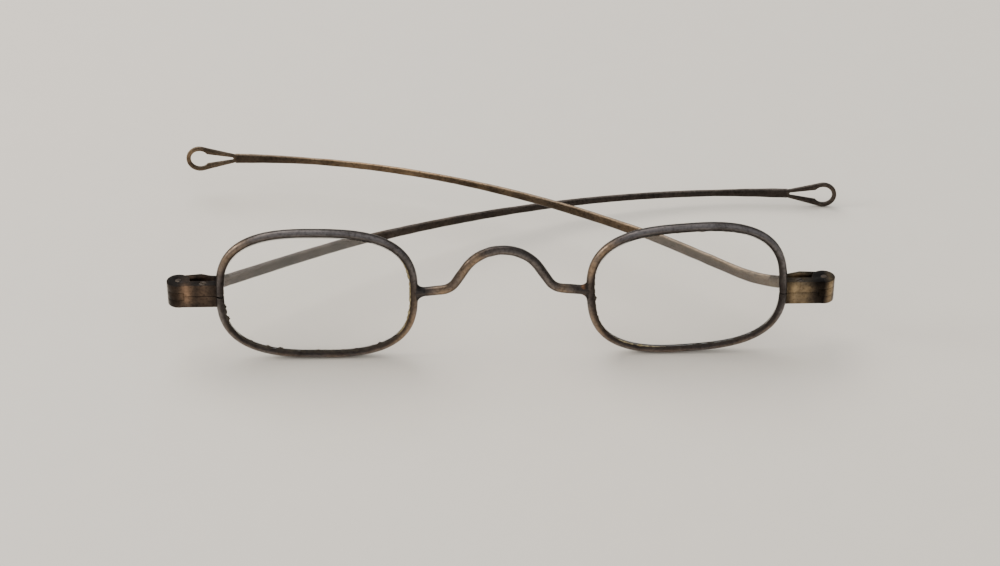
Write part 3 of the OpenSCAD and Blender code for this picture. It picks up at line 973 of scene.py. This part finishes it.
def loop_outside():
    """The teardrop's outline from the middle of its back end, upper side first."""
    r = LOOP_R - LOOP_SKIN
    lean_in = math.asin(LOOP_R / LOOP_REACH)
    tangent = math.pi / 2 + lean_in
    back_x = -LOOP_ROOT - LOOP_OVERLAP
    back_z = (LOOP_REACH + back_x) * math.tan(lean_in)
    upper = [(back_x, 0), (back_x, back_z)]
    tip = arc(r, tangent, -tangent, LOOP_ARC_SPANS)
    return resample(upper + tip + [(back_x, -back_z)], LOOP_RINGS)


def loop_inside():
    """The keyhole's outline from the round end of its slit, upper side first."""
    mouth = math.pi - SLIT_MOUTH
    slit_middle = -SLIT_REACH + SLIT_HALF
    slit = [(slit_middle + x, z) for x, z in arc(SLIT_HALF, math.pi, math.pi / 2, SLIT_SPANS)]
    lower = [(x, -z) for x, z in reversed(slit[1:])]
    hole = arc(LOOP_HOLE_R, mouth, -mouth, LOOP_ARC_SPANS)
    return resample(slit + hole + lower, LOOP_RINGS)


# Each loop has a painted bronze glint by its tip; its middle is counted in rings from the back end.
TIP_GLINT = {LEFT: [(86, 0.08, 18 ** 2)], RIGHT: [(86, 0.55, 18 ** 2)]}
LOOP_WARMTH = 0.06
LOOP_RUB = 0.22


def make_loop(side):
    """The ribbon loop, swept round as one band between the teardrop and the keyhole."""
    (root_x, root_y), way = loop_frame(side)
    height = temple_height(side, TEMPLES[side]["length"])
    rings = []
    for (outer_x, outer_z), (inner_x, inner_z) in zip(loop_outside(), loop_inside()):
        ring = []
        for b in turn_angles(LOOP_SIDES, 0.5):
            across = (signed_power(math.cos(b), LOOP_ROUNDING) + 1) / 2
            deep = LOOP_HALF_T * signed_power(math.sin(b), LOOP_ROUNDING)
            along = inner_x + (outer_x - inner_x) * across + LOOP_ROOT
            x = root_x + along * math.cos(way) - deep * math.sin(way)
            y = root_y + along * math.sin(way) + deep * math.cos(way)
            ring.append(at_hinge(side, x, y, height + inner_z + (outer_z - inner_z) * across))
        rings.append(ring)
    warmth = [LOOP_WARMTH + spots(i, TIP_GLINT[side]) for i in range(LOOP_RINGS)]
    wear_and_highlight = [LOOP_RUB] * LOOP_SIDES
    return skin_mesh("ribbon_loop", rings, closed=True, warmth=warmth, wear_and_highlight=wear_and_highlight)


def make_temple(side):
    """A folding temple: its bar, the ribbon loop and the joint at its root."""
    name = NAMES[side]
    body = f"{name}_temple_arm"
    material = "dark_temple" if side == LEFT else "bronze_temple"
    bar = new_piece(f"{name}_temple_bar", body, make_bar(side))
    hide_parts(f"{name}_temple")
    finish_piece(bar, material)
    loop = new_piece(f"{name}_ribbon_loop", body, make_loop(side))
    finish_piece(loop, material)
    soften(
        f"{name}_temple_joint", f"{name}_hinge_joint", body,
        f"{name}_block", JOINT_BEVEL, warmth=0.1, highlight_share=0.3)


def make_blocks(side):
    """The two halves of an end-piece, their closing screw and the hinge's pin."""
    name = NAMES[side]
    for level in ("upper", "lower"):
        soften(
            f"{name}_{level}_endpiece", f"{name}_{level}_block", "front",
            f"{name}_block", BLOCK_BEVEL)
    soften(
        f"{name}_closing_screw", f"{name}_slotted_screw", "front",
        "screw", SCREW_BEVEL)
    soften(
        f"{name}_hinge_pin", f"{name}_rivet_pin", "front",
        "screw", PIN_BEVEL)


# Beads of old cement and dirt: side, first and last angle in degrees, material, seed and size.
CRUSTS = [
    (LEFT, 222, 326, "dark_crust", 1, 0.42),
    (LEFT, 336, 358, "dark_crust", 2, 0.5),
    (LEFT, 146, 222, "pale_crust", 3, 0.2),
    (LEFT, 200, 256, "dark_crust", 7, 0.16),
    (RIGHT, 60, 120, "dark_crust", 4, 0.12),
    (RIGHT, 165, 205, "dark_crust", 5, 0.22),
    (RIGHT, 222, 262, "pale_crust", 6, 0.15),
    (RIGHT, 268, 322, "dark_crust", 8, 0.2),
]

for side in (LEFT, RIGHT):
    make_rim(side)
    make_lens(side)
    make_braze(side)
    make_temple(side)
    make_blocks(side)
make_bridge()
for bead in CRUSTS:
    make_crust(*bead)


# ---------------------------------------------------------------- stage, in metres
CAMERA_YAW = math.radians(-1.85)
CAMERA_HEIGHT_ANGLE = math.radians(42)
CAMERA_ROLL = math.radians(0.42)
CAMERA_DISTANCE = 0.4006
CAMERA_TARGET = Vector((-0.00047, 0, 0.0164))
CAMERA_LENS = 86.4
FLOOR_REACH = 3.0
HORIZON = (0.42, 0.42, 0.43, 1)
OVERHEAD = (1.0, 0.995, 0.98, 1)
OVERHEAD_START = 0.75
SKY_STRENGTH = 0.86


def make_camera():
    cos_e, sin_e = math.cos(CAMERA_HEIGHT_ANGLE), math.sin(CAMERA_HEIGHT_ANGLE)
    away = Vector((math.sin(CAMERA_YAW) * cos_e, -math.cos(CAMERA_YAW) * cos_e, sin_e))
    level = Vector((math.cos(CAMERA_YAW), math.sin(CAMERA_YAW), 0))
    upward = away.cross(level)
    right = math.cos(CAMERA_ROLL) * level + math.sin(CAMERA_ROLL) * upward
    top = away.cross(right)
    data = bpy.data.cameras.new("camera")
    data.lens = CAMERA_LENS
    data.sensor_width = 36
    data.clip_start = 0.01
    camera = bpy.data.objects.new("camera", data)
    axes = Matrix((right, top, away)).transposed()
    eye = FOOT + CAMERA_TARGET + away * CAMERA_DISTANCE
    camera.matrix_world = Matrix.Translation(eye) @ axes.to_4x4()
    bpy.context.scene.collection.objects.link(camera)
    bpy.context.scene.camera = camera


def make_floor():
    mesh = bpy.data.meshes.new("floor")
    far = FLOOR_REACH
    corners = [(-far, -far, 0), (far, -far, 0), (far, far, 0), (-far, far, 0)]
    mesh.from_pydata(corners, [], [(0, 1, 2, 3)])
    mesh.materials.append(pale_paper())
    floor = bpy.data.objects.new("floor", mesh)
    bpy.context.scene.collection.objects.link(floor)


def area_light(name, place_at, size, watts, colour):
    """A round lamp that faces the origin."""
    data = bpy.data.lights.new(name, "AREA")
    data.shape = "DISK"
    data.size = size
    data.energy = watts
    data.color = colour
    light = bpy.data.objects.new(name, data)
    light.location = place_at
    light.rotation_euler = Vector(place_at).to_track_quat("Z", "Y").to_euler()
    bpy.context.scene.collection.objects.link(light)


def make_world():
    """A pale dome, brighter overhead than at the horizon."""
    world = bpy.data.worlds.new("studio")
    world.use_nodes = True
    tree = world.node_tree
    coords = tree.nodes.new("ShaderNodeTexCoord")
    split = tree.nodes.new("ShaderNodeSeparateXYZ")
    ramp = tree.nodes.new("ShaderNodeValToRGB")
    ramp.color_ramp.elements[0].color = HORIZON
    ramp.color_ramp.elements[1].color = OVERHEAD
    ramp.color_ramp.elements[1].position = OVERHEAD_START
    background = tree.nodes["Background"]
    background.inputs["Strength"].default_value = SKY_STRENGTH
    tree.links.new(coords.outputs["Generated"], split.inputs[0])
    tree.links.new(split.outputs["Z"], ramp.inputs["Fac"])
    tree.links.new(ramp.outputs["Color"], background.inputs["Color"])
    bpy.context.scene.world = world


make_camera()
make_floor()
make_world()
area_light("key", (-0.35, 0.5, 0.95), size=0.9, watts=8, colour=(1.0, 0.97, 0.93))
area_light("glint", (-0.95, 0.02, 0.42), size=0.3, watts=4, colour=(1.0, 0.93, 0.85))
